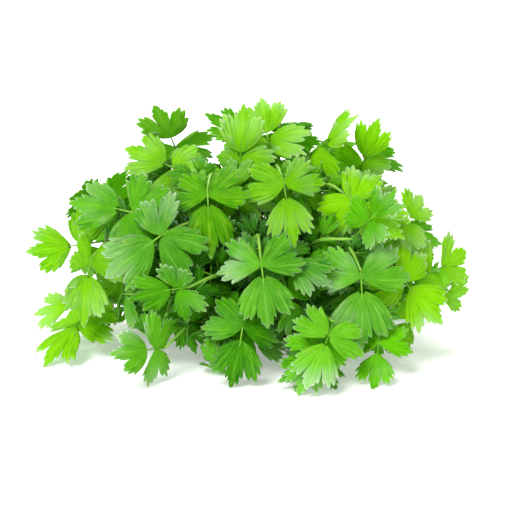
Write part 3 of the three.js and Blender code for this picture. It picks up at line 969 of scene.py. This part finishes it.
leafPattern = leafPatternGroup()
# Copies of one leaf skin: with painted light at the top and sides, with painted shade further in,
# and with a painted sheen in front; the last is the paler underside. In each, the sheen amount is a
# painted sheen, and the edge colour serves both the pale rim and the painted sheen.
leafFinishes = {
    "bright": {"Unshaded": (0.33, 0.82, 0.001), "DarkAndShaded": (0.028, 0.28, 0.001),
               "Vein": (0.54, 0.88, 0.05), "EdgeAndSheen": (0.86, 0.98, 0.62), "PaintedSheen": 0.28,
               "glow": (0.42, 0.88, 0.001), "through": 0.38, "gloss": 0.08},
    "green": {"Unshaded": (0.16, 0.64, 0.001), "DarkAndShaded": (0.008, 0.15, 0.001),
              "Vein": (0.26, 0.68, 0.03), "EdgeAndSheen": (0.76, 0.92, 0.56), "PaintedSheen": 0.25,
              "glow": (0.20, 0.64, 0.001), "through": 0.25, "gloss": 0.08},
    "pale": {"Unshaded": (0.18, 0.65, 0.004), "DarkAndShaded": (0.016, 0.20, 0.001),
             "Vein": (0.38, 0.76, 0.10), "EdgeAndSheen": (0.86, 0.96, 0.74), "PaintedSheen": 0.5,
             "glow": (0.22, 0.66, 0.001), "through": 0.25, "gloss": 0.25},
    "under": {"Unshaded": (0.24, 0.64, 0.015), "DarkAndShaded": (0.035, 0.26, 0.004),
              "Vein": (0.46, 0.78, 0.16), "EdgeAndSheen": (0.72, 0.90, 0.50), "PaintedSheen": 0.25,
              "glow": (0.32, 0.76, 0.002), "through": 0.3, "gloss": 0.08},
}


def newMaterial(name):
    material = bpy.data.materials.new(name)
    material.use_nodes = True
    return material, material.node_tree, material.node_tree.nodes["Principled BSDF"]


# A leaf's skin, mixed with light that comes through the blade.
def leafMaterial(name, finish):
    material, tree, skin = newMaterial(name)
    values = {key: (*finish[key], 1) for key in ("Unshaded", "DarkAndShaded", "Vein", "EdgeAndSheen")}
    values |= {"Vein Strength": leafSkin["veinStrength"], "PaintedSheen": finish["PaintedSheen"]}
    pattern = addNode(tree, "ShaderNodeGroup", {"node_tree": leafPattern}, values).outputs
    tree.links.new(pattern["Color"], skin.inputs["Base Color"])
    tree.links.new(pattern["Roughness"], skin.inputs["Roughness"])
    relief = {"Strength": leafSkin["bumpStrength"], "Distance": leafSkin["bumpDistance"],
              "Height": pattern["Height"]}
    normal = addNode(tree, "ShaderNodeBump", (), relief).outputs["Normal"]
    tree.links.new(normal, skin.inputs["Normal"])
    skin.inputs["Specular IOR Level"].default_value = finish["gloss"]
    shining = {"Color": (*finish["glow"], 1), "Normal": normal}
    glow = addNode(tree, "ShaderNodeBsdfTranslucent", (), shining)
    mixed = {0: finish["through"], 1: skin.outputs[0], 2: glow.outputs[0]}
    shader = addNode(tree, "ShaderNodeMixShader", (), mixed).outputs[0]
    tree.links.new(shader, tree.nodes["Material Output"].inputs["Surface"])
    return material


leafMaterials = {kind: leafMaterial(f"leaf{kind.capitalize()}", finish)
                 for kind, finish in leafFinishes.items()}


stemFinishes = {
    "stemSkin": {"lighter": (0.20, 0.50, 0.03), "deep": (0.10, 0.36, 0.01),
                 "rib": (0.40, 0.68, 0.12)},
    "stemPith": {"lighter": (0.62, 0.76, 0.38), "deep": (0.50, 0.68, 0.28),
                 "rib": (0.74, 0.84, 0.52)},
}
stemLook = {"cloudScale": 70, "cloudRange": (0.35, 0.65), "ribStrength": 0.6,
            "roughness": 0.42, "gloss": 0.3}


# Cloudy along the stem, and paler on its ribs.
def stemMaterial(name, finish):
    material, tree, skin = newMaterial(name)
    ridge = attribute(tree, "vein")
    place = addNode(tree, "ShaderNodeTexCoord").outputs["Object"]
    cloud = noiseAt(tree, place, stemLook["cloudScale"], 3)
    cloud = ramp(tree, cloud, *stemLook["cloudRange"])
    body = blendColours(tree, cloud, (*finish["lighter"], 1), (*finish["deep"], 1))
    ribbed = times(tree, ridge, stemLook["ribStrength"])
    tree.links.new(blendColours(tree, ribbed, body, (*finish["rib"], 1)),
                   skin.inputs["Base Color"])
    skin.inputs["Roughness"].default_value = stemLook["roughness"]
    skin.inputs["Specular IOR Level"].default_value = stemLook["gloss"]
    return material


stemMaterials = [stemMaterial(name, finish) for name, finish in stemFinishes.items()]

stemRod = rodTemplate(stem["sides"], stem["sectionsPerSpan"] * stem["spans"], stem["pithInset"])
stalkRod = rodTemplate(stem["stalkSides"], stem["stalkSections"])


def leavesMesh(sprig):
    bm = bmesh.new()
    layers = (bm.loops.layers.uv.new("leafMap"), bm.verts.layers.float.new("vein"),
              bm.verts.layers.float.new("shadeTone"))
    pick = random.Random(sprig["number"])
    spread = shadeTones["leafSpread"]
    for frond in sprig["fronds"]:
        shadeTone = shadeToneOf(frond, pick)
        for side in (-1, 0, 1):
            addLeaflet(bm, layers, frond, side, pick, shadeTone + pick.uniform(-spread, spread))
    placeInFrame(bm, blade["kept"])
    return bm


def stemMesh(sprig):
    bm = bmesh.new()
    ribLayer = bm.verts.layers.float.new("vein")
    path = smoothPath(sprig["stem"], stem["sectionsPerSpan"])
    steps = len(path) - 1
    radii = [growth["stemWidth"] / 2 * (1 - growth["taper"] * i / steps) for i in range(steps + 1)]
    early, late = stem["tipRadii"]
    radii[-3:] = [radii[-3] * early, radii[-2] * late, stem["stalkRadius"]]
    for point, radius in zip(path, radii):
        point.z = max(point.z, radius * stem["lowest"])
    addRod(bm, ribLayer, stemRod, path, radii, stem["rib"])
    for frond in sprig["fronds"]:
        back, neck = frond["stalk"], growth["endStalk"] * frond["size"]
        reach = [-back - growth["sunk"], *[-back * share for share in stem["stalkShares"]], 0,
                 neck * stem["neckShare"], neck, neck + stem["stalkEnd"]]
        path = [bentPoint(frond, 0, 0, y, -stem["stalkUnder"] if y > neck else 0) for y in reach]
        thick = stem["stalkRadius"] * frond["size"] ** 0.5
        addRod(bm, ribLayer, stalkRod, path, [thick * share for share in stem["stalkRadii"]])
    for face in bm.faces:
        face.smooth = face.material_index == 0
    placeInFrame(bm)
    return bm


def trianglesOf(bm):
    return sum(len(face.verts) - 2 for face in bm.faces)


triangles = 0
for sprig in sprigs:
    number, kind = sprig["number"], sprig["seat"]["kind"]
    bm = leavesMesh(sprig)
    triangles += trianglesOf(bm) * 2  # both sides of the blades
    piece = pieceFrom(bm, f"leaves_{number:02d}", [leafMaterials[kind], leafMaterials["under"]],
                      number)
    thicken(piece, blade["thickness"])
    bm = stemMesh(sprig)
    triangles += trianglesOf(bm)
    pieceFrom(bm, f"stem_{number:02d}", stemMaterials, number)
print("sprigs modelled, about", triangles, "triangles")

floor = {"size": 6.0, "colour": (0.92, 0.92, 0.92), "roughness": 0.9, "light": 0.32}
bm = bmesh.new()
bmesh.ops.create_grid(bm, x_segments=1, y_segments=1, size=floor["size"])
floorMesh = bpy.data.meshes.new("floor")
bm.to_mesh(floorMesh)
bm.free()
floorObject = bpy.data.objects.new("floor", floorMesh)
bpy.context.scene.collection.objects.link(floorObject)
floorMaterial, _, floorSkin = newMaterial("floor")
floorSkin.inputs["Base Color"].default_value = (*floor["colour"], 1)
floorSkin.inputs["Roughness"].default_value = floor["roughness"]
floorSkin.inputs["Emission Color"].default_value = (1, 1, 1, 1)
floorSkin.inputs["Emission Strength"].default_value = floor["light"]
floorMesh.materials.append(floorMaterial)

studio = {
    "world": 0.5,
    "sun": {"from": (-0.45, -0.75, 1.0), "strength": 2.5, "angle": 24},
    "back": {"from": (0.15, 0.75, 1.05), "power": 12, "size": 0.9},
    "lampAim": Vector((0, 0, 0.05)),
    "lens": 110,
    "distance": 0.91,
    "lookDown": 15,
    "aim": Vector((0.003, -0.03, 0.0465)),
}


def addLamp(name, kind, place, settings):
    lamp = bpy.data.lights.new(name, kind)
    for key, value in settings.items():
        setattr(lamp, key, value)
    lampObject = bpy.data.objects.new(name, lamp)
    bpy.context.scene.collection.objects.link(lampObject)
    lampObject.location = place
    towards = studio["lampAim"] - Vector(place)
    lampObject.rotation_euler = towards.to_track_quat("-Z", "Y").to_euler()


sun, back = studio["sun"], studio["back"]
addLamp("sun", "SUN", sun["from"], {"energy": sun["strength"], "angle": math.radians(sun["angle"])})
addLamp("back", "AREA", back["from"],
        {"shape": "DISK", "size": back["size"], "energy": back["power"]})

camera = bpy.data.cameras.new("camera")
camera.lens = studio["lens"]
cameraObject = bpy.data.objects.new("camera", camera)
bpy.context.scene.collection.objects.link(cameraObject)
bpy.context.scene.camera = cameraObject
tilt = math.radians(studio["lookDown"])
away = Vector((0, -math.cos(tilt), math.sin(tilt)))
cameraObject.location = studio["aim"] + away * studio["distance"]
cameraObject.rotation_euler = (-away).to_track_quat("-Z", "Y").to_euler()

world = bpy.data.worlds.new("studio")
bpy.context.scene.world = world
world.use_nodes = True
world.node_tree.nodes["Background"].inputs["Color"].default_value = (1, 1, 1, 1)
world.node_tree.nodes["Background"].inputs["Strength"].default_value = studio["world"]
bpy.context.scene.view_settings.view_transform = "Standard"
print("studio set")
